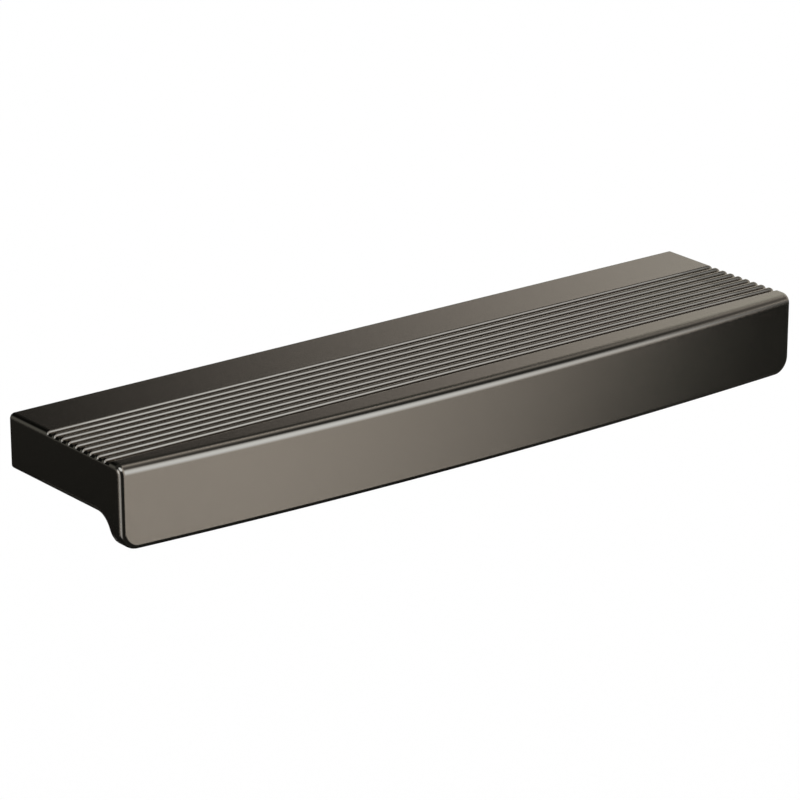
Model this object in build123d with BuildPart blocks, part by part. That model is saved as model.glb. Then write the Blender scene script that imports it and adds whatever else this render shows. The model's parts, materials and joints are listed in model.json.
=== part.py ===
from build123d import *
import math
import os

# Bin pull, one die-cast body, in millimetres.
# X runs along the pull, Y = 0 is the back face that meets the drawer front, -Y is the front, +Z is up.
# The origin is the middle of the back face, halfway between the two screw holes.

# Overall form
PULL_LENGTH = 160.0
END_DEPTH = 35.6  # back face to front face, measured at the ends
FRONT_BOW = 3.0  # how much further forward the front face stands at mid length
RAIL_HEIGHT = 10.85  # top face to the underside of the back rail and the end walls
LIP_DROP = 5.5  # how far the front lip hangs below that underside
LIP_THICKNESS = 4.2
END_DRAFT = 0.5  # degrees that each end face leans in towards the bottom

# Finger hollow
RAIL_DEPTH = 11.0
END_WALL = 4.0
ROOF_THICKNESS = 3.5
THROAT_RADIUS = 4.0  # concave round where the lip grows out of the roof and the end walls

# Rounded edges
LIP_CORNER_RADIUS = 3.5
FRONT_TOP_RADIUS = 2.0
EDGE_RADIUS = 1.0
LEAST_FLAT = 0.1  # straight wall that is left between two rounds

# Grip grooves along the top face
REAR_BAND = 12.0  # plain band from the back face to the first groove
FRONT_FLAT = 1.4  # least flat between the last groove and the front round, at the ends
GROOVE_PITCH = 2.285
GROOVE_WIDTH = 1.75  # at the top, before its edges are rounded
GROOVE_DEPTH = 0.45
GROOVE_LEAN = 25.0  # degrees that each side of a groove leans from upright
GROOVE_EDGE_RADIUS = 0.32
GROOVE_FLOOR_RADIUS = 0.25

# Threaded screw holes in the back face
SCREW_INSET = 16.0  # from each end of the pull
TAP_DIAMETER = 3.3  # tapped M4
HOLE_FLOOR = 2.0  # metal left between the end of a hole and the hollow
HOLE_CHAMFER = 0.5

# Levels and depths that follow from the sizes above
front_height = RAIL_HEIGHT + LIP_DROP
top_z = RAIL_HEIGHT / 2
rail_bottom_z = -RAIL_HEIGHT / 2
lip_bottom_z = rail_bottom_z - LIP_DROP
ceiling_z = top_z - ROOF_THICKNESS
full_depth = END_DEPTH + FRONT_BOW
trim_depth = 2 * full_depth  # well past the bowed front
stock_length = PULL_LENGTH + 2 * END_WALL  # before the ends are cut
lip_back_y = LIP_THICKNESS - full_depth
lip_middle_y = LIP_THICKNESS / 2 - END_DEPTH
end_x = PULL_LENGTH / 2
foot_x = end_x - front_height * math.tan(math.radians(END_DRAFT))
wall_x = end_x - END_WALL

# The front face is part of a large upright cylinder, and the back of the lip is concentric with it
bow_radius = (end_x**2 + FRONT_BOW**2) / (2 * FRONT_BOW)
bow_centre_y = bow_radius - full_depth
lip_back_radius = bow_radius - LIP_THICKNESS

# Inside rounds: the ceiling is rounder than the throat, and the corners in plan rounder than the ceiling
hollow_height = ceiling_z - rail_bottom_z
throat_room = min(LIP_DROP, hollow_height - EDGE_RADIUS) - EDGE_RADIUS - LEAST_FLAT
throat_radius = min(THROAT_RADIUS, throat_room)
ceiling_radius = throat_radius + EDGE_RADIUS
hollow_corner_radius = ceiling_radius + EDGE_RADIUS

# Grooves that fit between the two plain bands
groove_room = END_DEPTH - REAR_BAND - FRONT_FLAT - FRONT_TOP_RADIUS - GROOVE_WIDTH
groove_count = int(groove_room / GROOVE_PITCH) + 1
groove_field = (groove_count - 1) * GROOVE_PITCH + GROOVE_WIDTH
middle_groove_y = -(REAR_BAND + groove_field / 2)

# Small rounds that fit a groove's land, floor and leaning sides; each takes up round_reach times its radius
groove_angle = 90 - GROOVE_LEAN  # between a groove's side and the top face
round_reach = math.tan(math.radians(groove_angle) / 2)
side_room = GROOVE_DEPTH / math.cos(math.radians(GROOVE_LEAN)) / 2
land_room = (GROOVE_PITCH - GROOVE_WIDTH - LEAST_FLAT) / 2
floor_room = (GROOVE_WIDTH - LEAST_FLAT) / 2 - GROOVE_DEPTH * math.tan(math.radians(GROOVE_LEAN))
groove_edge_radius = min(GROOVE_EDGE_RADIUS, land_room / round_reach, side_room / round_reach)
groove_floor_radius = min(GROOVE_FLOOR_RADIUS, floor_room / round_reach, side_room / round_reach)

# Screw holes
screw_spacing = PULL_LENGTH - 2 * SCREW_INSET
hole_depth = RAIL_DEPTH - HOLE_FLOOR

os.makedirs("parts", exist_ok=True)

with BuildPart() as pull_body:
    # Slab behind the lip: back rail, roof and end walls
    with BuildSketch(Plane.XY.offset(rail_bottom_z)):
        with Locations((0, bow_centre_y)):
            Circle(lip_back_radius)
        Rectangle(stock_length, trim_depth, align=(Align.CENTER, Align.MAX), mode=Mode.INTERSECT)
    extrude(amount=RAIL_HEIGHT)

    # Finger hollow, open below and towards the lip
    with BuildSketch(Plane.XY.offset(rail_bottom_z)) as hollow:
        with Locations((0, -RAIL_DEPTH)):
            Rectangle(2 * wall_x, full_depth, align=(Align.CENTER, Align.MAX))
        fillet(hollow.vertices().group_by(Axis.Y)[-1], hollow_corner_radius)
    extrude(amount=hollow_height, mode=Mode.SUBTRACT)
    fillet(pull_body.edges().sort_by_distance((0, -RAIL_DEPTH, ceiling_z))[0], ceiling_radius)
    fillet(pull_body.edges().sort_by_distance((0, -RAIL_DEPTH, rail_bottom_z))[0], EDGE_RADIUS)

    # Front lip, bowed in plan, with its throat running all round the hollow
    with BuildSketch(Plane.XY.offset(lip_bottom_z)):
        with Locations((0, bow_centre_y)):
            Circle(bow_radius)
            Circle(lip_back_radius, mode=Mode.SUBTRACT)
        Rectangle(stock_length, trim_depth, align=(Align.CENTER, Align.MAX), mode=Mode.INTERSECT)
    extrude(amount=front_height)
    fillet(pull_body.edges().sort_by_distance((0, lip_back_y, ceiling_z))[0], throat_radius)

    # Ends, cut to length with their draft
    with BuildSketch(Plane.XZ):
        with BuildLine():
            Polyline(
                (-end_x, top_z), (end_x, top_z), (foot_x, lip_bottom_z), (-foot_x, lip_bottom_z), close=True
            )
        make_face()
    extrude(amount=trim_depth, both=True, mode=Mode.INTERSECT)

    # Outer edges: lower lip corners, the soft front top edge, then one round over the ends and along the lip
    for side_x in (foot_x, -foot_x):
        fillet(pull_body.edges().sort_by_distance((side_x, lip_middle_y, lip_bottom_z))[0], LIP_CORNER_RADIUS)
    fillet(pull_body.edges().sort_by_distance((0, -full_depth, top_z))[0], FRONT_TOP_RADIUS)
    for edge_z in (top_z, rail_bottom_z):
        fillet(pull_body.edges().sort_by_distance((end_x, -RAIL_DEPTH, edge_z))[0], EDGE_RADIUS)

    # Grip grooves, with rounded edges and floor corners, run out through both ends
    with BuildSketch(Plane.YZ) as grooves:
        with Locations((middle_groove_y, top_z)):
            Rectangle(groove_field + GROOVE_PITCH, GROOVE_DEPTH, align=(Align.CENTER, Align.MIN))
            with GridLocations(GROOVE_PITCH, 0, groove_count, 1):
                Trapezoid(
                    GROOVE_WIDTH, GROOVE_DEPTH, groove_angle, rotation=180, align=(Align.CENTER, Align.MIN)
                )
        fillet(grooves.vertices().group_by(Axis.Y)[1].sort_by(Axis.X)[1:-1], groove_edge_radius)
        fillet(grooves.vertices().group_by(Axis.Y)[0], groove_floor_radius)
    extrude(amount=end_x, both=True, mode=Mode.SUBTRACT)

    # Two blind holes for the mounting screws, bored from the back face
    with Locations(-Plane.XZ):
        with GridLocations(screw_spacing, 0, 2, 1):
            Hole(TAP_DIAMETER / 2, depth=hole_depth)
    hole_edges = pull_body.edges(Select.LAST).filter_by(GeomType.CIRCLE)
    chamfer(hole_edges.group_by(Axis.Y)[-1], HOLE_CHAMFER)

pull_body.part.label = "pull_body"
export_step(pull_body.part, "parts/pull_body.step")
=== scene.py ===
"""Looks of a bin pull: one die casting in polished dark nickel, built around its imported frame."""

import json
import logging
import math
from dataclasses import dataclass
from enum import Enum

import bmesh
import bpy
from mathutils import Matrix, Vector


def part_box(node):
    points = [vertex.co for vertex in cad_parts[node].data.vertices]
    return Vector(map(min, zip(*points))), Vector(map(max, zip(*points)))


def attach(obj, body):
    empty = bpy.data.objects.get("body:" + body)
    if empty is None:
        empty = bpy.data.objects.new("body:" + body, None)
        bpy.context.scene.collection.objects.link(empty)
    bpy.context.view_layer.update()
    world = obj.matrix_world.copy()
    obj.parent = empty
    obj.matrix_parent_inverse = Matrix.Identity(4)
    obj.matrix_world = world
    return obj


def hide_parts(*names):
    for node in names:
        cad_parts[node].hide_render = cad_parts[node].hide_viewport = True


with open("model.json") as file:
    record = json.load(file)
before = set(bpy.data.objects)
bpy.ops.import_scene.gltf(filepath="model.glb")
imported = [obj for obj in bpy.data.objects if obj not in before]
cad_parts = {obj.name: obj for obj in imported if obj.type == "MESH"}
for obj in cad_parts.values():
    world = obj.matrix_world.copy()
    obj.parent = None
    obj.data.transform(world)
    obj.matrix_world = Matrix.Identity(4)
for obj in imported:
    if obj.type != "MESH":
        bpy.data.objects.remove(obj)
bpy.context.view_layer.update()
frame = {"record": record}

LOG = logging.getLogger("bin_pull")

MM = 0.001  # sizes below are in millimetres, Blender works in metres
WELD_GAP = 0.002  # points closer than this are one point
SLIVER = WELD_GAP / 10  # shorter edges than this are dropped
LEVEL_DIGITS = 6  # levels that agree to so many decimals are one level
RIGHT_ANGLE = math.pi / 2

Point = tuple[float, float, float]
Row = list[Point]
Outline = list[tuple[float, float]]
Colour = tuple[float, float, float, float]


class Skin(Enum):
    """Finish of a stretch of the casting's skin, by the number of its material slot."""

    POLISHED = 0
    AS_CAST = 1
    TAPPED = 2


def spread(start: float, stop: float, count: int) -> list[float]:
    """Evenly spaced values.

    Args:
        start: First value.
        stop: Last value.
        count: How many values, both ends included.

    Returns:
        The values in order.
    """
    return [start + (stop - start) * k / (count - 1) for k in range(count)]


def cut(radius: float, depth: float) -> float:
    """How far a quarter round stands back from the wall it ends in.

    Args:
        radius: Radius of the round.
        depth: Depth below the face that the round starts from.

    Returns:
        The whole radius at the face, and nothing once the round has ended.
    """
    left = radius - min(max(depth, 0.0), radius)
    return radius - math.sqrt(max(radius**2 - left**2, 0.0))


def root(value: float) -> float:
    """Square root that takes a rounding error below zero as zero."""
    return math.sqrt(max(value, 0.0))


def mirrored(half: Row) -> Row:
    """Whole row from its right half.

    Args:
        half: Points from the middle plane outwards.

    Returns:
        The row from the left end to the right end.
    """
    return [(-x, y, z) for x, y, z in reversed(half[1:])] + half


@dataclass(frozen=True)
class PullForm:
    """Sizes of the casting in millimetres, the same as in the part's source."""

    full_depth: float  # back face to front face, at mid length
    top_z: float
    lip_bottom_z: float
    length: float = 160.0
    end_depth: float = 35.6  # back face to front face, at the ends
    rail_height: float = 10.85  # top to the underside of the back rail and the end walls
    lip_thickness: float = 4.2
    end_draft: float = math.radians(0.5)  # lean of each end, inwards towards the bottom
    rail_depth: float = 11.0
    end_wall: float = 4.0
    roof: float = 3.5
    throat_round: float = 4.0  # where the lip grows out of the roof and the end walls
    ceiling_round: float = 5.0
    plan_round: float = 6.0  # rear corners of the hollow, seen from below
    lip_corner: float = 3.5  # lower corners of the lip, seen from the front
    front_top: float = 2.0  # round along the top of the front
    edge: float = 1.0  # the other outer rounds

    @classmethod
    def from_frame(cls, node: str) -> "PullForm":
        """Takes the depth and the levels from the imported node.

        Args:
            node: Name of the CAD node.

        Returns:
            The form, with its other sizes as given above.
        """
        low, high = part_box(node)
        return cls(full_depth=-low.y / MM, top_z=high.z / MM, lip_bottom_z=low.z / MM)

    @property
    def end_x(self) -> float:
        """Half the length."""
        return self.length / 2

    @property
    def rail_bottom_z(self) -> float:
        """Underside of the back rail and of the end walls."""
        return self.top_z - self.rail_height

    @property
    def ceiling_z(self) -> float:
        """Ceiling of the finger hollow."""
        return self.top_z - self.roof

    @property
    def wall_x(self) -> float:
        """Inner face of an end wall."""
        return self.end_x - self.end_wall

    @property
    def bow_radius(self) -> float:
        """Radius of the bowed front face in plan."""
        bow = self.full_depth - self.end_depth
        return (self.end_x**2 + bow**2) / (2 * bow)

    @property
    def corner_z(self) -> float:
        """Level where the lower lip corner's round begins."""
        return self.lip_bottom_z + self.lip_corner

    @property
    def throat_z(self) -> float:
        """Level of the centre of the throat under the end walls."""
        return self.rail_bottom_z - self.throat_round

    @property
    def throat_end(self) -> float:
        """Depth behind the front face where the throat has run out."""
        return self.lip_thickness + self.throat_round

    def bow_y(self, x: float, inset: float) -> float:
        """Place of a surface that follows the bowed front.

        Args:
            x: Place along the pull.
            inset: Depth of the surface behind the front face.

        Returns:
            Its y.
        """
        return self.bow_radius - self.full_depth - math.sqrt((self.bow_radius - inset) ** 2 - x**2)

    def side_x(self, z: float, inset: float = 0.0) -> float:
        """Outline of an end seen from the front, with its draft and its lower corner.

        Args:
            z: Level on the end.
            inset: How far inside the outline.

        Returns:
            The x of the outline at that level.
        """
        plane = self.end_x - (self.top_z - max(z, self.corner_z)) * math.tan(self.end_draft)
        if z >= self.corner_z:
            return plane - inset
        radius = self.lip_corner - inset
        return plane - self.lip_corner + root(radius**2 - (self.corner_z - z) ** 2)


MIDDLE_STATIONS = 19  # points of a row from the middle to the ceiling's round
END_STATIONS = 6  # points from there to a groove's run-out, and again over the run-out


def crown_stations(form: PullForm, tip_x: float, run_out: float) -> list[float]:
    """Places along the pull where the rows of the top and of the front have points.

    Args:
        form: The pull's sizes.
        tip_x: Where the row reaches the end's edge.
        run_out: Last stretch before that, where the grooves get deeper.

    Returns:
        Places from the middle to the tip.
    """
    middle = middle_stations(form)
    flat_x = tip_x - run_out
    return middle + spread(middle[-1], flat_x, END_STATIONS)[1:] + spread(flat_x, tip_x, END_STATIONS)[1:]


def middle_stations(form: PullForm) -> list[float]:
    """Places from the middle to where the hollow's ceiling starts to round down."""
    return spread(0.0, form.wall_x - form.ceiling_round, MIDDLE_STATIONS)


def new_object(name: str, data: bpy.types.ID) -> bpy.types.Object:
    """Adds an object to the scene.

    Args:
        name: Name of the object.
        data: Its mesh or camera.

    Returns:
        The object.
    """
    item = bpy.data.objects.new(name, data)
    bpy.context.scene.collection.objects.link(item)
    return item


def settled_mesh(carrier: bpy.types.Object) -> bpy.types.Mesh:
    """Keeps what an object's modifiers make, and drops the object.

    Args:
        carrier: The object, in the scene.

    Returns:
        A plain mesh.
    """
    shape = carrier.evaluated_get(bpy.context.evaluated_depsgraph_get())
    mesh = bpy.data.meshes.new_from_object(shape)
    bpy.data.objects.remove(carrier)
    return mesh


class TreeBuilder:
    """Short way to write a node tree: nodes, their values and their links."""

    def __init__(self, tree: bpy.types.NodeTree) -> None:
        """Starts on a tree."""
        self.tree = tree

    def add(self, kind: str, settings: dict[str, object] | None = None, **values: object) -> bpy.types.Node:
        """Adds a node and joins or sets its inputs.

        Args:
            kind: The node's type.
            settings: Properties of the node itself.
            values: A socket to link or a plain value for each input, with _ for a space in its name.

        Returns:
            The node.
        """
        node = self.tree.nodes.new(kind)
        for name, value in (settings or {}).items():
            setattr(node, name, value)
        for name, value in values.items():
            self.feed(node.inputs[name.replace("_", " ")], value)
        return node

    def feed(self, target: bpy.types.NodeSocket, value: object) -> None:
        """Links a socket to an input, or sets the input's own value.

        Args:
            target: The input.
            value: A socket or a plain value.
        """
        if isinstance(value, bpy.types.NodeSocket):
            self.tree.links.new(value, target)
        else:
            target.default_value = value

    def math(self, operation: str, *values: object) -> bpy.types.NodeSocket:
        """Adds a maths node.

        Args:
            operation: What it does.
            values: Its operands, sockets or numbers.

        Returns:
            The socket with the result.
        """
        node = self.tree.nodes.new("ShaderNodeMath")
        node.operation = operation
        for target, value in zip(node.inputs, values):
            self.feed(target, value)
        return node.outputs[0]


class GroupBuilder(TreeBuilder):
    """Short way to write a node group with its own inputs and results."""

    def __init__(self, name: str, kind: str) -> None:
        """Makes the group.

        Args:
            name: Name of the group.
            kind: Type of its tree.
        """
        super().__init__(bpy.data.node_groups.new(name, kind))
        self.source = self.tree.nodes.new("NodeGroupInput")
        self.sink = self.tree.nodes.new("NodeGroupOutput")

    def socket(self, name: str, kind: str) -> bpy.types.NodeSocket:
        """Adds a named input.

        Args:
            name: Name of the input.
            kind: What it takes, such as Float.

        Returns:
            The socket that gives the input's value inside the group.
        """
        self.tree.interface.new_socket(name, in_out="INPUT", socket_type=f"NodeSocket{kind}")
        return self.source.outputs[name]

    def result(self, name: str, kind: str, value: bpy.types.NodeSocket) -> None:
        """Adds a named output.

        Args:
            name: Name of the output.
            kind: What it gives, such as Float.
            value: The socket inside the group that it gives out.
        """
        self.tree.interface.new_socket(name, in_out="OUTPUT", socket_type=f"NodeSocket{kind}")
        self.tree.links.new(value, self.sink.inputs[name])

    def end_in_skin(self, copies: bpy.types.NodeSocket, finish: bpy.types.NodeSocket) -> None:
        """Realizes the copies, gives them their material and puts them out.

        Args:
            copies: The instances.
            finish: The material input.
        """
        solid = self.add("GeometryNodeRealizeInstances", Geometry=copies)
        dressed = self.add("GeometryNodeSetMaterial", Geometry=solid.outputs["Geometry"], Material=finish)
        self.result("Skin", "Geometry", dressed.outputs["Geometry"])


class MaterialBuilder(TreeBuilder):
    """Short way to write a material's nodes."""

    def __init__(self, name: str) -> None:
        """Makes the material, with no nodes yet.

        Args:
            name: Name of the material.
        """
        self.material = bpy.data.materials.new(name)
        self.material.use_nodes = True
        super().__init__(self.material.node_tree)
        self.tree.nodes.clear()

    def mix(
        self, share: bpy.types.NodeSocket, first: bpy.types.Node, second: bpy.types.Node
    ) -> bpy.types.Node:
        """Mixes two shaders.

        Args:
            share: Share of the second shader.
            first: The first shader.
            second: The second shader.

        Returns:
            The mixed shader.
        """
        mixed = self.add("ShaderNodeMixShader", Fac=share)
        self.feed(mixed.inputs[1], first.outputs[0])
        self.feed(mixed.inputs[2], second.outputs[0])
        return mixed

    def end_in(self, shader: bpy.types.Node) -> bpy.types.Material:
        """Puts a shader out.

        Args:
            shader: The shader's node.

        Returns:
            The finished material.
        """
        self.add("ShaderNodeOutputMaterial", Surface=shader.outputs[0])
        return self.material


def grown_mesh(
    carrier: bpy.types.Object, tree: bpy.types.NodeTree, inputs: dict[str, object]
) -> bpy.types.Mesh:
    """Runs a Geometry Nodes tree once and keeps its result.

    Args:
        carrier: Object that carries the tree's modifier, dropped at the end.
        tree: The tree.
        inputs: Value of each named input.

    Returns:
        A plain mesh.
    """
    modifier = carrier.modifiers.new(tree.name, "NODES")
    modifier.node_group = tree
    for item in tree.interface.items_tree:
        if item.in_out == "INPUT" and item.name in inputs:
            modifier[item.identifier] = inputs[item.name]
    return settled_mesh(carrier)


class SkinBuilder:
    """Collects strips and flat faces of one closed skin, in millimetres, and welds them."""

    def __init__(self) -> None:
        """Starts with no faces."""
        self.mesh = bmesh.new()

    def strip(self, rows: list[Row], skin: Skin) -> None:
        """Adds a strip of quads between neighbouring rows.

        Args:
            rows: Rows of equal length.
            skin: Finish of the strip.
        """
        grid = [[self.mesh.verts.new(Vector(point) * MM) for point in row] for row in rows]
        for row, below in zip(grid, grid[1:]):
            for corners in zip(row, row[1:], below[1:], below):
                self.mesh.faces.new(corners).material_index = skin.value

    def end_pair(self, outline: Row, skin: Skin) -> None:
        """Adds a flat face at the right end and its mirror image at the left one.

        Args:
            outline: Corners of the right one in order, which may have repeats.
            skin: Finish of the faces.
        """
        followers = outline[1:] + outline[:1]
        corners = [point for point, follower in zip(outline, followers) if point != follower]
        for side in (1, -1):
            verts = [self.mesh.verts.new(Vector((side * x, y, z)) * MM) for x, y, z in corners]
            self.mesh.faces.new(verts).material_index = skin.value

    def dress_new(self, known: set[bmesh.types.BMFace], skin: Skin) -> None:
        """Gives a finish to the faces that were added since the known ones."""
        for face in set(self.mesh.faces) - known:
            face.material_index = skin.value

    def take(self, piece: bpy.types.Mesh, skin: Skin) -> None:
        """Adds a mesh that was made elsewhere.

        Args:
            piece: The mesh, in metres.
            skin: Finish of its faces.
        """
        known = set(self.mesh.faces)
        self.mesh.from_mesh(piece)
        self.dress_new(known, skin)
        bpy.data.meshes.remove(piece)

    def weld(self) -> None:
        """Merges the points that the strips share."""
        bmesh.ops.remove_doubles(self.mesh, verts=self.mesh.verts, dist=WELD_GAP * MM)

    def close(self, y: float, skin: Skin) -> None:
        """Fills the openings in an upright plane along the pull, which may have holes in them.

        Args:
            y: Place of the plane.
            skin: Finish of the new faces.
        """
        loose = [edge for edge in self.mesh.edges if len(edge.link_faces) < 2]
        edges = [edge for edge in loose if all(abs(vert.co.y / MM - y) < WELD_GAP for vert in edge.verts)]
        known = set(self.mesh.faces)
        bmesh.ops.triangle_fill(self.mesh, use_beauty=True, edges=edges)
        self.dress_new(known, skin)

    def shade(self, sharp_angle: float) -> None:
        """Drops slivers, turns the faces outwards and smooths them between sharp edges.

        Args:
            sharp_angle: Angle from which an edge is sharp.
        """
        bmesh.ops.dissolve_degenerate(self.mesh, edges=self.mesh.edges, dist=SLIVER * MM)
        bmesh.ops.recalc_face_normals(self.mesh, faces=self.mesh.faces)
        for edge in self.mesh.edges:
            edge.smooth = len(edge.link_faces) == 2 and edge.calc_face_angle() < sharp_angle
        for face in self.mesh.faces:
            face.smooth = True
        gaps = sum(len(edge.link_faces) != 2 for edge in self.mesh.edges)
        LOG.info("skin of %d faces, %d open or crowded edges", len(self.mesh.faces), gaps)

    def to_mesh(self, name: str) -> bpy.types.Mesh:
        """Ends the work and frees the working copy.

        Args:
            name: Name of the mesh.

        Returns:
            The mesh.
        """
        mesh = bpy.data.meshes.new(name)
        self.mesh.to_mesh(mesh)
        self.mesh.free()
        return mesh


@dataclass(frozen=True)
class GripGrooves:
    """Grip grooves along the top: one groove with its land, repeated by Geometry Nodes."""

    form: PullForm
    count: int = 9
    rear_band: float = 12.0
    pitch: float = 2.285
    width: float = 1.75
    depth: float = 0.45
    lean: float = math.radians(25.0)
    edge_round: float = 0.26  # both rounds are tighter than in the part's source, for finer lines of light
    floor_round: float = 0.17
    end_drop: float = 0.27  # how much deeper a groove gets where it runs out over an end's edge
    run_out: float = 0.6  # last stretch of a groove, where it gets deeper
    end_round: float = 0.14  # round along the rim of the notch that it leaves
    steps: int = 6  # points over each small round
    end_steps: int = 13  # points over the end's edge

    @property
    def turn(self) -> float:
        """Angle of a round between a level face and a leaning side."""
        return RIGHT_ANGLE - self.lean

    @property
    def edge_reach(self) -> float:
        """Distance from a groove's edge, before it is rounded, to where its round starts."""
        return self.edge_round * math.tan(self.turn / 2)

    @property
    def end_depth(self) -> float:
        """Depth of a groove where it runs out over an end's edge."""
        return self.depth + self.end_drop

    @property
    def start_y(self) -> float:
        """Where the first groove's rear edge starts to round over."""
        return self.edge_reach - self.rear_band

    @property
    def end_y(self) -> float:
        """Where the last land ends."""
        return self.start_y - self.count * self.pitch

    @property
    def levels(self) -> list[float]:
        """Levels of the points over an end's edge.

        Returns:
            Drops below the top, down to the seam with the end face.
        """
        edge = self.form.edge
        angles = spread(0.0, RIGHT_ANGLE, self.end_steps)
        rounds = [edge * (1 - math.cos(angle)) for angle in angles[1:]]
        floor_angles = spread(0.0, RIGHT_ANGLE, self.steps)
        rounds += [self.end_depth + self.end_round * (1 - math.cos(angle)) for angle in floor_angles]
        seam = max(self.end_depth, edge) + self.end_round
        return sorted({round(drop, LEVEL_DIGITS) for drop in rounds} | {seam})

    def stations(self) -> list[tuple[float, float]]:
        """Section of one groove and its land, from the rear edge forwards.

        Returns:
            Pairs of distance in front of the start and drop below the top.
        """
        angles = spread(0.0, self.turn, self.steps)
        rim, floor = self.edge_round, self.floor_round
        foot = self.edge_reach + self.depth * math.tan(self.lean) + floor * math.tan(self.turn / 2)
        near = [(rim * math.sin(a), rim * (1 - math.cos(a))) for a in angles]
        near += [
            (foot - floor * math.sin(a), self.depth - floor * (1 - math.cos(a))) for a in reversed(angles)
        ]
        span = 2 * self.edge_reach + self.width
        far = [(span - place, drop) for place, drop in reversed(near)]
        return near + far + [(self.pitch, 0.0)]

    def off_groove(self, place: float, level: float) -> float:
        """Distance from the sides and the floor of the nearest groove's run-out, seen along the pull.

        Args:
            place: Distance in front of the start of a groove.
            level: Depth below the top.

        Returns:
            The distance, or nothing within the groove.
        """
        middle = self.edge_reach + self.width / 2
        across = abs((place - middle + self.pitch / 2) % self.pitch - self.pitch / 2)
        foot = self.depth * math.tan(self.lean)
        lean = math.atan2(foot, self.end_depth)
        out = across - self.width / 2 + foot
        below = level - self.end_depth
        if below * math.cos(lean) <= out * math.sin(lean):
            return max(out * math.cos(lean) + below * math.sin(lean), 0.0)
        return math.hypot(max(out, 0.0), max(below, 0.0))

    def half_row(self, y: float, drop: float = 0.0, place: float | None = None) -> Row:
        """Half a row of the top, from the middle out and down the end's edge to the seam.

        Args:
            y: Place of the row.
            drop: How far the row lies below the top.
            place: Distance of the row in front of the start of its groove, if it has one.

        Returns:
            The row's points.
        """
        form = self.form

        def end_point(level: float) -> tuple[float, float]:
            """Point of the row on the end's edge.

            Args:
                level: Drop below the top.

            Returns:
                Its x and z.
            """
            z = form.top_z - level
            back = cut(form.edge, level)
            if place is not None:
                back += cut(self.end_round, self.off_groove(place, level))
            return form.side_x(z) - back, z

        end_level = drop * self.end_depth / self.depth
        tip_x, _ = end_point(end_level)
        outline: Outline = []
        for x in crown_stations(form, tip_x, self.run_out):
            share = max(1 - (tip_x - x) / self.run_out, 0.0)
            outline.append((x, form.top_z - drop - (end_level - drop) * share**2))
        outline += [end_point(max(level, end_level)) for level in self.levels]
        return [(x, y, z) for x, z in outline]

    def seam_places(self) -> list[float]:
        """Places of the rows of the grooved field.

        Returns:
            The y of every row, from the rear forwards.
        """
        places = [self.start_y]
        for groove in range(self.count):
            start = self.start_y - groove * self.pitch
            places += [start - place for place, _ in self.stations()[1:]]
        return places

    def unit_mesh(self) -> bpy.types.Mesh:
        """Skin of the rearmost groove and its land.

        Returns:
            A strip that runs over both ends.
        """
        rows = [mirrored(self.half_row(self.start_y - place, drop, place)) for place, drop in self.stations()]
        skin = SkinBuilder()
        skin.strip(rows, Skin.POLISHED)
        return skin.to_mesh("groove_unit")

    def node_tree(self) -> bpy.types.NodeTree:
        """Geometry Nodes tree that repeats a groove unit towards the front.

        Returns:
            The tree, with the count, the pitch and the finish as its inputs.
        """
        nodes = GroupBuilder("repeat_grooves", "GeometryNodeTree")
        source = nodes.socket("Groove unit", "Geometry")
        count = nodes.socket("Groove count", "Int")
        step = nodes.socket("Groove step", "Vector")
        finish = nodes.socket("Finish", "Material")
        line = nodes.add("GeometryNodeMeshLine", Count=count, Offset=step)
        copies = nodes.add("GeometryNodeInstanceOnPoints", Points=line.outputs["Mesh"], Instance=source)
        nodes.end_in_skin(copies.outputs["Instances"], finish)
        return nodes.tree

    def build(self, finish: bpy.types.Material) -> bpy.types.Mesh:
        """Repeats the groove unit over the grip field.

        Args:
            finish: Material of the grooves.

        Returns:
            A plain mesh of the whole field.
        """
        carrier = new_object("grip_grooves", self.unit_mesh())
        inputs = {
            "Groove count": self.count,
            "Groove step": (0.0, -self.pitch * MM, 0.0),
            "Finish": finish,
        }
        return grown_mesh(carrier, self.node_tree(), inputs)


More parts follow.
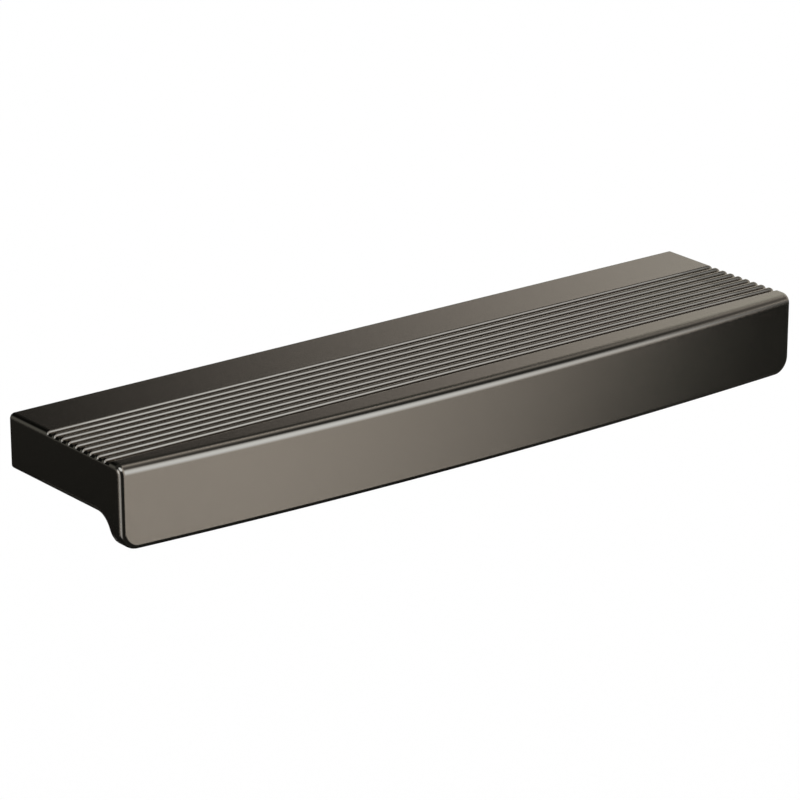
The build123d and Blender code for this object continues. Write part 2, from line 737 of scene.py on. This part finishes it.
@dataclass(frozen=True)
class TappedHoles:
    """Two blind tapped holes in the back face, each with a real thread."""

    spacing: float
    crest_radius: float
    root_radius: float = 2.0
    thread_pitch: float = 0.7
    chamfer: float = 0.5
    depth: float = 9.0
    sides: int = 32
    steps_per_turn: int = 8

    @classmethod
    def from_frame(cls) -> "TappedHoles":
        """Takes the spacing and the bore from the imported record's bolt pattern.

        Returns:
            The holes, with their other sizes as given above.
        """
        pattern = next(mount for mount in frame["record"]["mounts"] if mount["name"] == "screw_holes")
        sizes = pattern["dims"]
        return cls(spacing=sizes["spacing_x_mm"], crest_radius=sizes["hole_r_mm"])

    def node_tree(self) -> bpy.types.NodeTree:
        """Geometry Nodes tree that winds a thread into a bore and sets it at both screw centres.

        Returns:
            The tree, with the thread's sizes and the finish as its inputs.
        """
        nodes = GroupBuilder("tapped_bore", "GeometryNodeTree")
        crest = nodes.socket("Crest radius", "Float")
        groove = nodes.socket("Root radius", "Float")
        mouth = nodes.socket("Mouth radius", "Float")
        pitch = nodes.socket("Thread pitch", "Float")
        depth = nodes.socket("Bore depth", "Float")
        rings = nodes.socket("Rings", "Int")
        spacing = nodes.socket("Screw spacing", "Float")
        finish = nodes.socket("Finish", "Material")

        bore = nodes.add(
            "GeometryNodeMeshCylinder", {"fill_type": "NONE"},
            Vertices=self.sides, Side_Segments=rings, Radius=crest, Depth=depth,
        )
        spot = nodes.add("ShaderNodeSeparateXYZ", Vector=nodes.add("GeometryNodeInputPosition").outputs[0])
        along = nodes.math("ADD", spot.outputs["Z"], nodes.math("MULTIPLY", depth, 0.5))
        angle = nodes.math("ARCTAN2", spot.outputs["Y"], spot.outputs["X"])
        turn = nodes.math("DIVIDE", angle, 2 * math.pi)
        phase = nodes.math("FRACT", nodes.math("ADD", nodes.math("DIVIDE", along, pitch), turn))
        flank = nodes.math("MULTIPLY", nodes.math("ABSOLUTE", nodes.math("SUBTRACT", phase, 0.5)), 2.0)
        height = nodes.math("MULTIPLY", nodes.math("SUBTRACT", groove, crest), flank)
        thread = nodes.math("ADD", crest, height)
        radius = nodes.math("MAXIMUM", thread, nodes.math("SUBTRACT", mouth, along))
        place = nodes.add(
            "ShaderNodeCombineXYZ",
            X=nodes.math("MULTIPLY", radius, nodes.math("COSINE", angle)),
            Y=nodes.math("MULTIPLY", along, -1.0),
            Z=nodes.math("MULTIPLY", radius, nodes.math("SINE", angle)),
        )
        wound = nodes.add("GeometryNodeSetPosition", Geometry=bore.outputs["Mesh"], Position=place.outputs[0])
        start = nodes.add("ShaderNodeCombineXYZ", X=nodes.math("MULTIPLY", spacing, -0.5))
        step = nodes.add("ShaderNodeCombineXYZ", X=spacing)
        centres = nodes.add(
            "GeometryNodeMeshLine", Count=2, Start_Location=start.outputs[0], Offset=step.outputs[0]
        )
        copies = nodes.add(
            "GeometryNodeInstanceOnPoints", Points=centres.outputs["Mesh"], Instance=wound.outputs["Geometry"]
        )
        nodes.end_in_skin(copies.outputs["Instances"], finish)
        return nodes.tree

    def build(self, finish: bpy.types.Material) -> bpy.types.Mesh:
        """Winds both threaded bores.

        Args:
            finish: Material of the thread.

        Returns:
            A plain mesh, open at the back face and at the blind ends.
        """
        carrier = new_object("tapped_holes", bpy.data.meshes.new("tapped_holes"))
        inputs = {
            "Crest radius": self.crest_radius * MM,
            "Root radius": self.root_radius * MM,
            "Mouth radius": (self.crest_radius + self.chamfer) * MM,
            "Thread pitch": self.thread_pitch * MM,
            "Bore depth": self.depth * MM,
            "Rings": round(self.depth / self.thread_pitch * self.steps_per_turn),
            "Screw spacing": self.spacing * MM,
            "Finish": finish,
        }
        return grown_mesh(carrier, self.node_tree(), inputs)


@dataclass
class CastBody:
    """The casting's skin: bowed lip, grooved top, throat, finger hollow, back rail and tapped holes."""

    form: PullForm
    grooves: GripGrooves
    holes: TappedHoles
    front_steps: int = 13  # points over the front's rounds, and likewise below
    round_steps: int = 7
    corner_steps: int = 9
    throat_steps: int = 11
    strip_steps: int = 3  # points across the underside of an end wall
    sharp_angle: float = math.radians(40.0)

    def bowed(self, outline: Outline, inset: float) -> Row:
        """Puts an outline seen from the front on a surface that follows the bow.

        Args:
            outline: Points of the outline, x and z.
            inset: Depth behind the front face.

        Returns:
            The row's points.
        """
        return [(x, self.form.bow_y(x, inset), z) for x, z in outline]

    def front_crown(self, inset: float) -> Row:
        """Top of the front round at a depth, from the middle to the seam with the end face.

        Args:
            inset: Depth behind the front face.

        Returns:
            Half a row.
        """
        form, edge, big = self.form, self.form.edge, self.form.front_top
        flat_x = form.end_x - edge
        drop = cut(big, inset)
        outline = [(x, form.top_z - drop) for x in crown_stations(form, flat_x, self.grooves.run_out)]
        last_angle = math.acos(max(1 - inset / edge, 0.0))
        tip = drop
        for level in self.grooves.levels:
            if level <= edge:
                angle = math.acos(1 - level / edge) * last_angle / RIGHT_ANGLE
                back = edge * (1 - math.cos(angle))
                tip = big - root((big - back) ** 2 - (big - min(inset, big)) ** 2)
                lean = tip * math.tan(form.end_draft)
                outline.append((flat_x + edge * math.sin(angle) - lean, form.top_z - tip))
            else:
                z = form.top_z - tip - (level - edge)
                outline.append((form.side_x(z, cut(edge, inset)), z))
        return self.bowed(outline, inset)

    def front_side(self, inset: float) -> Row:
        """End's front edge at a depth, from the seam down to the lower corner's round.

        Args:
            inset: Depth behind the front face.

        Returns:
            The points of one end.
        """
        form = self.form
        seam = self.front_crown(inset)[-1][2]
        levels = spread(seam, form.corner_z, self.round_steps)
        return self.bowed([(form.side_x(z, cut(form.edge, inset)), z) for z in levels], inset)

    def corner_arc(self, inset: float, high: float, low: float, count: int) -> Outline:
        """Stretch of the lip's lower corner between two levels.

        Args:
            inset: How far inside the outline.
            high: Level of its upper end.
            low: Level of its lower end.
            count: How many points.

        Returns:
            The points, from above.
        """
        form = self.form
        radius = form.lip_corner - inset
        centre_x = form.side_x(form.corner_z) - form.lip_corner
        first, last = (math.asin(min(max((form.corner_z - z) / radius, 0.0), 1.0)) for z in (high, low))
        angles = spread(first, last, count)
        return [(centre_x + radius * math.cos(a), form.corner_z - radius * math.sin(a)) for a in angles]

    def under_outline(self, inset: float) -> Outline:
        """Underside seen from the front at a depth within the lip: corner, then the lip's bottom.

        Args:
            inset: Depth behind the front face.

        Returns:
            Points from the end face to the middle.
        """
        form, edge = self.form, self.form.edge
        left = form.lip_thickness - inset
        if left > edge:
            side = cut(edge, inset)
            outline = self.corner_arc(side, form.corner_z, form.throat_z, self.round_steps)
            outline += [outline[-1]] * self.round_steps
        else:
            side = cut(edge, left)
            outline = self.end_edge(inset, math.acos(1 - left / edge))
        outline += self.corner_arc(side, form.throat_z, form.lip_bottom_z + side, self.corner_steps)
        level = form.lip_bottom_z + side
        return outline + [(x, level) for x in self.lip_stations()]

    def end_edge(self, inset: float, least_angle: float = 0.0) -> Outline:
        """Lower edge of an end face: what is left of the corner's round, then the edge's own round.

        Args:
            inset: Depth behind the front face.
            least_angle: Angle at which the edge's round gives way to the back of the lip.

        Returns:
            Points from the end face inwards.
        """
        form, edge = self.form, self.form.edge
        to_centre = max(form.throat_end - inset, 0.0)
        outline: Outline = []
        for angle in spread(RIGHT_ANGLE, least_angle, self.round_steps):
            rise = edge * (1 - math.cos(angle))
            z = form.throat_z + root((form.throat_round + rise) ** 2 - to_centre**2)
            outline.append((form.side_x(z, edge * (1 - math.sin(angle))), z))
        start_z = outline[0][1]
        if start_z < form.corner_z:
            return self.corner_arc(0.0, form.corner_z, start_z, self.round_steps) + outline
        return [outline[0]] * self.round_steps + outline

    def lip_stations(self) -> list[float]:
        """Places along the lip's bottom.

        Returns:
            The x of each, one for each point of the hollow's outline.
        """
        form = self.form
        centre_x = form.side_x(form.corner_z) - form.lip_corner
        inner = form.wall_x - form.ceiling_round
        places = [x for x, _ in self.hollow_outline(form.throat_round)]
        squeeze = (centre_x - inner) / (places[0] - inner)
        return [x if x <= inner else inner + (x - inner) * squeeze for x in places]

    def hollow_outline(self, growth: float) -> Outline:
        """Mouth, wall and ceiling of the hollow seen from the front, grown inwards by the throat.

        Args:
            growth: How far the throat stands in from the hollow's own outline.

        Returns:
            Points from the underside of the end wall to the middle of the ceiling.
        """
        form, edge = self.form, self.form.edge
        mouth_x, mouth_z = form.wall_x + edge, form.rail_bottom_z + edge
        fillet_x, fillet_z = form.wall_x - form.ceiling_round, form.ceiling_z - form.ceiling_round
        outer, inner = edge + growth, form.ceiling_round - growth
        start = form.side_x(form.rail_bottom_z - growth, edge)
        outline = [(x, form.rail_bottom_z - growth) for x in spread(start, mouth_x, self.strip_steps)]
        angles = spread(0.0, RIGHT_ANGLE, self.round_steps)
        outline += [(mouth_x - outer * math.sin(a), mouth_z - outer * math.cos(a)) for a in angles[1:]]
        outline += [(fillet_x + inner * math.cos(a), fillet_z + inner * math.sin(a)) for a in angles]
        return outline + [(x, form.ceiling_z - growth) for x in reversed(middle_stations(form)[:-1])]

    def throat_row(self, inset: float) -> Row:
        """Underside at a depth within the throat.

        Args:
            inset: Depth behind the front face.

        Returns:
            Half a row from the end face to the middle.
        """
        growth = cut(self.form.throat_round, inset - self.form.lip_thickness)
        edge_points = self.end_edge(inset)
        corner = [edge_points[-1]] * self.corner_steps
        return self.bowed(edge_points + corner + self.hollow_outline(growth), inset)

    def hollow_row(self, ahead: float, floor: bool = False) -> Row:
        """Underside at a distance in front of the hollow's rear wall, or behind it where that is negative.

        Args:
            ahead: Distance in front of the rear wall.
            floor: Puts the rear wall's lower end in the row instead of its upper end.

        Returns:
            Half a row from the end face to the middle.
        """
        form, edge = self.form, self.form.edge
        centre_x, turn = form.wall_x - form.plan_round, form.plan_round
        fillet_z = form.ceiling_z - form.ceiling_round
        mouth_z = form.rail_bottom_z + edge
        from_centre = max(turn - ahead, 0.0)

        def plan_x(offset: float) -> float:
            """End of the hollow at this distance, seen from below.

            Args:
                offset: How far outside the hollow's own outline.

            Returns:
                Its x.
            """
            if ahead >= turn:
                return form.wall_x + offset
            return centre_x + root((turn + offset) ** 2 - from_centre**2)

        angles = spread(0.0, RIGHT_ANGLE, self.round_steps)
        rim: Outline = []
        for angle in angles:
            offset = max(edge * (1 - math.sin(angle)), -ahead)
            rim.append((plan_x(offset), mouth_z - root(edge**2 - (edge - offset) ** 2)))
        wall: Outline = []
        for angle in angles:
            offset = min(form.ceiling_round * (1 - math.cos(angle)), max(ahead, 0.0))
            rise = root(form.ceiling_round**2 - (form.ceiling_round - offset) ** 2)
            wall.append((plan_x(-offset), fillet_z + rise))
        if ahead < 0.0 or floor:
            wall = [rim[-1]] * len(angles)
        tip_x, tip_z = wall[-1]
        share = tip_x / (form.wall_x - form.ceiling_round)
        roof = [(x * share, tip_z) for x in reversed(middle_stations(form)[:-1])]
        edge_points = self.end_edge(form.full_depth)
        corner = [edge_points[-1]] * self.corner_steps
        strip = [(x, form.rail_bottom_z) for x in spread(edge_points[-1][0], rim[0][0], self.strip_steps)]
        outline = edge_points + corner + strip + rim[1:] + wall + roof
        y = -form.rail_depth - ahead
        return [(x, y, z) for x, z in outline]

    def front_rows(self) -> list[float]:
        """Depths of the rows over the front rounds."""
        angles = spread(0.0, RIGHT_ANGLE, self.front_steps)
        return [self.form.front_top * (1 - math.cos(angle)) for angle in angles]

    def lip_rows(self) -> list[Row]:
        """Rows of the lip's underside.

        Returns:
            Half rows from the front round to the back of the lip.
        """
        form = self.form
        angles = spread(RIGHT_ANGLE, 0.0, self.round_steps)
        back = [form.lip_thickness - form.edge * (1 - math.cos(angle)) for angle in angles]
        return [self.bowed(self.under_outline(inset), inset) for inset in self.front_rows() + back]

    def hollow_rows(self) -> list[Row]:
        """Rows of the throat and of the hollow.

        Returns:
            Half rows from the back of the lip to the mouth of the hollow's rear wall.
        """
        form = self.form
        angles = spread(0.0, RIGHT_ANGLE, self.throat_steps)
        rows = [self.throat_row(form.throat_end - form.throat_round * math.cos(angle)) for angle in angles]
        turns = spread(RIGHT_ANGLE, 0.0, self.throat_steps)
        ahead = sorted({form.plan_round * (1 - math.cos(angle)) for angle in turns} | {form.ceiling_round})
        rows += [self.hollow_row(distance) for distance in reversed(ahead)]
        mouth = spread(RIGHT_ANGLE, 0.0, self.round_steps)
        rows += [self.hollow_row(-form.edge * (1 - math.sin(angle)), floor=True) for angle in mouth]
        return rows

    def rear_row(self) -> Row:
        """Underside at the back face."""
        return [(x, 0.0, z) for x, _, z in self.hollow_row(-self.form.edge)]

    def front_edges(self, skin: SkinBuilder) -> None:
        """Adds the rounds along the top and the ends of the front.

        Args:
            skin: The skin that the faces join.
        """
        insets = self.front_rows()
        skin.strip([mirrored(self.front_crown(inset)) for inset in insets], Skin.POLISHED)
        sides = [self.front_side(inset) for inset in insets]
        for side in (1, -1):
            skin.strip([[(side * x, y, z) for x, y, z in row] for row in sides], Skin.POLISHED)

    def front_face(self, skin: SkinBuilder) -> None:
        """Closes the bowed front face with upright strips and a cheek at each end.

        Args:
            skin: The skin that the faces join.
        """
        upper = self.front_crown(0.0)
        lower = self.bowed(self.under_outline(0.0), 0.0)
        count = MIDDLE_STATIONS
        above, below = upper[:count], lower[::-1][:count]
        skin.strip([mirrored(above), mirrored(below)], Skin.POLISHED)
        cheek = upper[count - 1:] + self.front_side(0.0)[1:] + lower[1:len(lower) - count + 1]
        skin.end_pair(cheek, Skin.POLISHED)

    def top(self, skin: SkinBuilder, finish: bpy.types.Material) -> list[Row]:
        """Adds the grooves and the plain bands in front of them and behind.

        Args:
            skin: The skin that the faces join.
            finish: Material of the grooves.

        Returns:
            Half rows from the front round to the back face, those of the grooves by their last point alone.
        """
        grooves = self.grooves
        field_front = grooves.half_row(grooves.end_y, place=0.0)
        field_rear = grooves.half_row(grooves.start_y, place=0.0)
        back = grooves.half_row(0.0)
        front = self.front_crown(self.form.front_top)
        skin.strip([mirrored(front), mirrored(field_front)], Skin.POLISHED)
        skin.strip([mirrored(field_rear), mirrored(back)], Skin.POLISHED)
        skin.take(grooves.build(finish), Skin.POLISHED)
        tip_x, _, tip_z = field_rear[-1]
        return [front] + [[(tip_x, y, tip_z)] for y in reversed(grooves.seam_places())] + [back]

    def underside(self, skin: SkinBuilder) -> list[Row]:
        """Adds the lip's bottom and back, the hollow and the underside of the rail.

        Args:
            skin: The skin that the faces join.

        Returns:
            Half rows from the front round to the back face.
        """
        lip, hollow, rear = self.lip_rows(), self.hollow_rows(), self.rear_row()
        skin.strip([mirrored(row[::-1]) for row in lip], Skin.POLISHED)
        skin.strip([mirrored(row[::-1]) for row in [lip[-1]] + hollow], Skin.AS_CAST)
        skin.strip([mirrored(row[::-1]) for row in (hollow[-1], rear)], Skin.POLISHED)
        return lip[self.front_steps - 1:] + hollow + [rear]

    def end_faces(self, skin: SkinBuilder, crown: list[Row], under: list[Row]) -> None:
        """Closes both flat ends.

        Args:
            skin: The skin that the faces join.
            crown: Half rows of the top from the front round to the back face.
            under: Half rows of the underside from the front round to the back face.
        """
        upper = [row[-1] for row in crown]
        lower = [row[0] for row in reversed(under)]
        front = list(reversed(self.front_side(self.form.front_top)))
        skin.end_pair(upper + lower + front[1:-1], Skin.POLISHED)

    def build_skin(self, finishes: dict[Skin, bpy.types.Material]) -> bpy.types.Mesh:
        """Builds the whole skin and welds it.

        Args:
            finishes: Material of each stretch of skin.

        Returns:
            A closed mesh in metres.
        """
        skin = SkinBuilder()
        self.front_edges(skin)
        self.front_face(skin)
        crown = self.top(skin, finishes[Skin.POLISHED])
        under = self.underside(skin)
        self.end_faces(skin, crown, under)
        skin.take(self.holes.build(finishes[Skin.TAPPED]), Skin.TAPPED)
        skin.weld()
        skin.close(0.0, Skin.POLISHED)
        skin.close(-self.holes.depth, Skin.TAPPED)
        skin.shade(self.sharp_angle)
        return skin.to_mesh("pull_casting")

    def build(self, finishes: dict[Skin, bpy.types.Material]) -> bpy.types.Object:
        """Makes the casting's object and lets it stand for the CAD node.

        Args:
            finishes: Material of each stretch of skin.

        Returns:
            The finished piece.
        """
        rough = new_object("pull_casting_rough", self.build_skin(finishes))
        for skin in Skin:
            rough.data.materials.append(finishes[skin])
        weighted = rough.modifiers.new("even_shading", "WEIGHTED_NORMAL")
        weighted.mode = "FACE_AREA"
        weighted.keep_sharp = True
        piece = new_object("pull_casting", settled_mesh(rough))
        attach(piece, "root")
        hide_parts("pull_body")
        return piece


@dataclass(frozen=True)
class NickelFinish:
    """Dark nickel plating in one degree of polish."""

    name: str
    colour: Colour
    tone_change: float  # share by which the colour drifts
    roughness: float
    roughness_change: float
    grain_height: float  # millimetres
    grain_scale: float
    grazing_tint: Colour = (0.66, 0.64, 0.62, 1.0)  # keeps the plating dark at its outline

    def material(self, plating: bpy.types.NodeTree) -> bpy.types.Material:
        """Makes the material.

        Args:
            plating: Node group that varies the plating over the surface.

        Returns:
            The material.
        """
        nodes = MaterialBuilder(self.name)
        group = nodes.add(
            "ShaderNodeGroup", {"node_tree": plating}, Plating=self.colour, Tone_change=self.tone_change,
            Roughness=self.roughness, Roughness_change=self.roughness_change, Grain_scale=self.grain_scale,
        )
        bump = nodes.add(
            "ShaderNodeBump", Strength=1.0, Distance=self.grain_height * MM, Height=group.outputs["Grain"]
        )
        metal = nodes.add(
            "ShaderNodeBsdfPrincipled", Metallic=1.0, Specular_Tint=self.grazing_tint,
            Base_Color=group.outputs["Colour"], Roughness=group.outputs["Roughness"], Normal=bump.outputs[0],
        )
        return nodes.end_in(metal)


NOISE_MIDDLE = 0.5  # what a noise texture gives on average
DRIFT_SCALE = 45.0  # of the slow change of tone
BUFFING_SCALE = 260.0  # of the change of polish


def plating_group() -> bpy.types.NodeTree:
    """Node group of the plating: slow drifts of tone and polish, and a fine grain.

    Returns:
        The group.
    """
    nodes = GroupBuilder("nickel_plating", "ShaderNodeTree")
    plating = nodes.socket("Plating", "Color")
    tone = nodes.socket("Tone change", "Float")
    roughness = nodes.socket("Roughness", "Float")
    change = nodes.socket("Roughness change", "Float")
    scale = nodes.socket("Grain scale", "Float")
    place = nodes.add("ShaderNodeTexCoord").outputs["Object"]
    drift = nodes.add("ShaderNodeTexNoise", Vector=place, Scale=DRIFT_SCALE, Detail=2.0).outputs[0]
    buffing = nodes.add("ShaderNodeTexNoise", Vector=place, Scale=BUFFING_SCALE, Detail=4.0).outputs[0]
    grain = nodes.add("ShaderNodeTexNoise", Vector=place, Scale=scale, Detail=3.0).outputs[0]
    swing = nodes.math("MULTIPLY", nodes.math("SUBTRACT", drift, NOISE_MIDDLE), tone)
    shade = nodes.add("ShaderNodeVectorMath", {"operation": "SCALE"})
    nodes.feed(shade.inputs[0], plating)
    nodes.feed(shade.inputs["Scale"], nodes.math("ADD", swing, 1.0))
    haze = nodes.math("MULTIPLY", nodes.math("SUBTRACT", buffing, NOISE_MIDDLE), change)
    nodes.result("Colour", "Color", shade.outputs[0])
    nodes.result("Roughness", "Float", nodes.math("ADD", roughness, haze))
    nodes.result("Grain", "Float", grain)
    return nodes.tree


FINISHES = {
    Skin.POLISHED: NickelFinish(
        "nickel_polished", colour=(0.236, 0.208, 0.174, 1.0), tone_change=0.04,
        roughness=0.10, roughness_change=0.03, grain_height=0.0004, grain_scale=900.0,
    ),
    Skin.AS_CAST: NickelFinish(
        "nickel_as_cast", colour=(0.217, 0.192, 0.162, 1.0), tone_change=0.10,
        roughness=0.34, roughness_change=0.08, grain_height=0.006, grain_scale=1400.0,
    ),
    Skin.TAPPED: NickelFinish(
        "nickel_tapped", colour=(0.26, 0.23, 0.2, 1.0), tone_change=0.08,
        roughness=0.28, roughness_change=0.06, grain_height=0.002, grain_scale=2500.0,
    ),
}


WHITE: Colour = (1.0, 1.0, 1.0, 1.0)
COOL_WHITE: Colour = (0.80, 0.89, 1.0, 1.0)
PALE_WHITE: Colour = (0.92, 1.0, 0.98, 1.0)


class CardKind(Enum):
    """What a studio card does to the metal that reflects it."""

    SOFTBOX = "softbox"
    FLAG = "flag"


def square_mesh(name: str, half: float) -> bpy.types.Mesh:
    """Flat square about the origin, facing up.

    Args:
        name: Name of the mesh.
        half: Half its side, in metres.

    Returns:
        The mesh.
    """
    mesh = bpy.data.meshes.new(name)
    corners = [(-half, -half, 0.0), (half, -half, 0.0), (half, half, 0.0), (-half, half, 0.0)]
    mesh.from_pydata(corners, [], [(0, 1, 2, 3)])
    return mesh


def feather_group() -> bpy.types.NodeTree:
    """Node group that fades a card out around its oval.

    Returns:
        The group, with the feather as its input and the card's cover as its output.
    """
    nodes = GroupBuilder("card_feather", "ShaderNodeTree")
    feather = nodes.socket("Feather", "Float")
    place = nodes.add("ShaderNodeTexCoord").outputs["Object"]
    reach = nodes.add("ShaderNodeVectorMath", {"operation": "LENGTH"}, Vector=place).outputs["Value"]
    fade = nodes.add(
        "ShaderNodeMapRange", {"interpolation_type": "SMOOTHSTEP"}, Value=reach, To_Min=1.0, To_Max=0.0,
        From_Min=nodes.math("SUBTRACT", 1.0, feather), From_Max=nodes.math("ADD", 1.0, feather),
    )
    nodes.result("Cover", "Float", fade.outputs["Result"])
    return nodes.tree


@dataclass(frozen=True)
class StudioCard:
    """Feathered oval card around the object, seen in its reflections alone."""

    name: str
    kind: CardKind
    turn: float  # degrees from +X towards +Y
    rise: float  # degrees above the horizon
    half_width: float  # for each unit of distance
    half_height: float
    roll: float  # degrees about the line to the object
    feather: float  # share of the half sizes over which the card fades
    brightness: float  # 1 is the white of the room
    colour: Colour = PALE_WHITE

    @property
    def label(self) -> str:
        """Name of the card's object, mesh and material."""
        return f"{self.kind.value}_{self.name}"

    def material(self, feather: bpy.types.NodeTree) -> bpy.types.Material:
        """Makes the card's own material.

        Args:
            feather: Node group that fades the card out.

        Returns:
            The material.
        """
        nodes = MaterialBuilder(self.label)
        cover = nodes.add("ShaderNodeGroup", {"node_tree": feather}, Feather=self.feather)
        clear = nodes.add("ShaderNodeBsdfTransparent")
        light = nodes.add("ShaderNodeEmission", Color=self.colour, Strength=self.brightness)
        return nodes.end_in(nodes.mix(cover.outputs["Cover"], clear, light))

    def build(self, centre: Vector, distance: float, feather: bpy.types.NodeTree) -> None:
        """Hangs the card up, facing the object.

        Args:
            centre: Middle of the object, in metres.
            distance: Distance of the card from it.
            feather: Node group that fades the card out.
        """
        turn, rise, roll = (math.radians(angle) for angle in (self.turn, self.rise, self.roll))
        outward = Vector((math.cos(rise) * math.cos(turn), math.cos(rise) * math.sin(turn), math.sin(rise)))
        level = Vector((-math.sin(turn), math.cos(turn), 0.0))
        upright = outward.cross(level)
        across = level * math.cos(roll) + upright * math.sin(roll)
        along = upright * math.cos(roll) - level * math.sin(roll)
        card = new_object(self.label, square_mesh(self.label, 1.0 + self.feather))
        card.location = centre + outward * distance
        card.rotation_euler = Matrix((across, along, outward)).transposed().to_euler()
        card.scale = (self.half_width * distance, self.half_height * distance, 1.0)
        card.visible_camera = card.visible_diffuse = card.visible_shadow = False
        card.visible_transmission = card.visible_volume_scatter = False
        card.data.materials.append(self.material(feather))


# Nearest first: name, kind, turn, rise, half width, half height, roll, feather, brightness, colour
CARDS = (
    StudioCard("front", CardKind.SOFTBOX, -60.2, 14.2, 0.231, 0.360, 2.8, 0.79, 2.696, COOL_WHITE),
    StudioCard("high_left", CardKind.SOFTBOX, -144.0, 52.9, 0.481, 0.356, 5.6, 0.26, 2.797, COOL_WHITE),
    StudioCard("side", CardKind.SOFTBOX, -176.2, -21.7, 0.199, 0.366, -1.3, 0.38, 1.234, COOL_WHITE),
    StudioCard("right_top", CardKind.SOFTBOX, 24.8, 25.0, 0.245, 0.437, 48.0, 0.39, 1.500),
    StudioCard("rim", CardKind.SOFTBOX, 174.0, 4.7, 0.183, 0.348, 22.0, 0.36, 2.553, COOL_WHITE),
    StudioCard("left_fill", CardKind.SOFTBOX, 123.1, 9.2, 0.310, 0.259, 1.7, 0.76, 0.273),
    StudioCard("end", CardKind.FLAG, 120.3, -24.5, 0.678, 0.347, 13.8, 0.94, 0.031),
    StudioCard("rear_edge", CardKind.FLAG, 86.3, 29.1, 0.605, 0.356, 15.1, 0.34, 0.015),
    StudioCard("rear", CardKind.FLAG, 65.2, 37.6, 0.142, 1.177, 52.8, 0.97, 0.063),
    StudioCard("over", CardKind.FLAG, -38.0, 42.8, 0.363, 0.290, 64.7, 0.74, 0.070),
    StudioCard("right", CardKind.FLAG, -36.8, -21.5, 0.063, 1.640, 8.7, 0.97, 0.044),
    StudioCard("sill", CardKind.FLAG, -52.0, -50.0, 1.100, 0.477, 0.0, 0.12, 0.045),
    StudioCard("right_edge", CardKind.FLAG, -10.9, -32.7, 0.864, 0.646, -53.1, 0.49, 0.120),
    StudioCard("below", CardKind.FLAG, 6.1, -40.4, 1.157, 0.664, 2.4, 0.12, 0.031),
    StudioCard("end_foot", CardKind.FLAG, 122.0, -62.0, 0.900, 0.650, 0.0, 0.30, 0.030),
    StudioCard("floor", CardKind.FLAG, 1.0, -87.6, 1.616, 1.998, -21.2, 0.65, 0.053),
    StudioCard("left", CardKind.FLAG, 117.2, 47.4, 2.000, 1.362, 58.8, 0.29, 0.070),
    StudioCard("front_left", CardKind.FLAG, -129.1, -4.0, 0.593, 1.636, 11.6, 0.38, 0.043),
)


@dataclass(frozen=True)
class Studio:
    """White room with its floor and cards, and the camera at the photograph's angle, in millimetres."""

    camera_place: Point = (-484.987, -639.071, 276.177)
    camera_turn: float = math.radians(-37.7555)
    camera_tilt: float = math.radians(70.4047)
    lens: float = 197.69
    sensor: float = 36.0
    clip_start: float = 10.0
    clip_end: float = 100000.0
    floor_gap: float = 300.0
    floor_size: float = 6000.0
    card_distance: float = 5000.0
    card_step: float = 100.0

    def camera(self) -> None:
        """Sets the camera up."""
        data = bpy.data.cameras.new("photo_camera")
        data.lens, data.sensor_width = self.lens, self.sensor
        data.clip_start, data.clip_end = self.clip_start * MM, self.clip_end * MM
        camera = new_object("photo_camera", data)
        camera.location = Vector(self.camera_place) * MM
        camera.rotation_euler = (self.camera_tilt, 0.0, self.camera_turn)
        bpy.context.scene.camera = camera

    def world(self) -> None:
        """White surroundings at the strength of white paper."""
        world = bpy.data.worlds.new("white_room")
        world.use_nodes = True
        back = world.node_tree.nodes["Background"]
        back.inputs["Color"].default_value = WHITE
        back.inputs["Strength"].default_value = 1.0
        bpy.context.scene.world = world

    def paper(self) -> bpy.types.Material:
        """White paper that can be looked through from below.

        Returns:
            The material.
        """
        nodes = MaterialBuilder("white_floor")
        side = nodes.add("ShaderNodeNewGeometry")
        white = nodes.add("ShaderNodeBsdfDiffuse", Color=WHITE)
        clear = nodes.add("ShaderNodeBsdfTransparent")
        return nodes.end_in(nodes.mix(side.outputs["Backfacing"], white, clear))

    def floor(self, level: float) -> None:
        """Plain white floor, as white as the room, so the metal reflects the room in its place.

        Args:
            level: Height of the floor.
        """
        floor = new_object("floor", square_mesh("floor", self.floor_size / 2 * MM))
        floor.location.z = level * MM
        floor.visible_glossy = False
        floor.data.materials.append(self.paper())

    def build(self, form: PullForm) -> None:
        """Sets the studio up around the object.

        Args:
            form: The object's sizes.
        """
        self.camera()
        self.world()
        self.floor(form.lip_bottom_z - self.floor_gap)
        centre = Vector((0.0, -form.full_depth / 2, 0.0)) * MM
        feather = feather_group()
        for place, card in enumerate(CARDS):
            card.build(centre, (self.card_distance + place * self.card_step) * MM, feather)
        bpy.context.scene.view_settings.view_transform = "Standard"
        LOG.info("studio with %d cards", len(CARDS))


def main() -> None:
    logging.basicConfig(level=logging.INFO, format="%(name)s: %(message)s")
    plating = plating_group()
    finishes = {skin: finish.material(plating) for skin, finish in FINISHES.items()}
    form = PullForm.from_frame("pull_body")
    body = CastBody(form, GripGrooves(form), TappedHoles.from_frame())
    piece = body.build(finishes)
    LOG.info("%s: %d faces", piece.name, len(piece.data.polygons))
    Studio().build(form)


if __name__ == "__main__":
    main()
